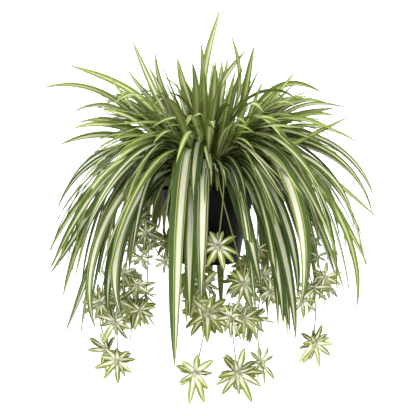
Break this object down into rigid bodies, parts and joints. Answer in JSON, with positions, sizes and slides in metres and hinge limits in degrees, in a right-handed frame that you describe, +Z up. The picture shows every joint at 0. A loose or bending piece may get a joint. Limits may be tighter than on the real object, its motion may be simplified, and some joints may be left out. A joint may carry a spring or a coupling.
{
  "type": "potted spider plant",
  "caption": "Spider plant with arching striped leaves and hanging runners with star-shaped plantlets, in a round tapered nursery pot with a collar, carried by a hanging ring.",
  "frame": {"origin": "on the pot's axis, in the plane of the underside of its collar, where the ring of a hanging holder carries it", "axes": "+Z up along the pot's axis, -Y the front, +X to the right as seen from the front"},
  "size_m": [0.5131, 0.4273, 0.5766],
  "materials": {
    "pot": "matte black moulded plastic, finely textured",
    "soil": "dark brown, rough and crumbly",
    "leaf": "semi-gloss leaf, green with lengthwise cream stripes",
    "plantlet": "satin leaf, yellow-green with a pale middle"
  },
  "bodies": {
    "root": {"pot": "pot", "soil": "soil", "crown_middle": "leaf", "crown_front": "leaf", "crown_front_right": "leaf", "crown_right": "leaf", "crown_back_right": "leaf", "crown_back": "leaf", "crown_back_left": "leaf", "crown_left": "leaf", "crown_front_left": "leaf", "runner_01": "plantlet", "runner_02": "plantlet", "runner_03": "plantlet", "runner_04": "plantlet", "runner_05": "plantlet", "runner_06": "plantlet", "runner_07": "plantlet", "runner_08": "plantlet", "runner_09": "plantlet", "runner_10": "plantlet", "runner_11": "plantlet", "runner_12": "plantlet", "runner_13": "plantlet", "runner_14": "plantlet", "runner_15": "plantlet"}
  },
  "joints": []
}
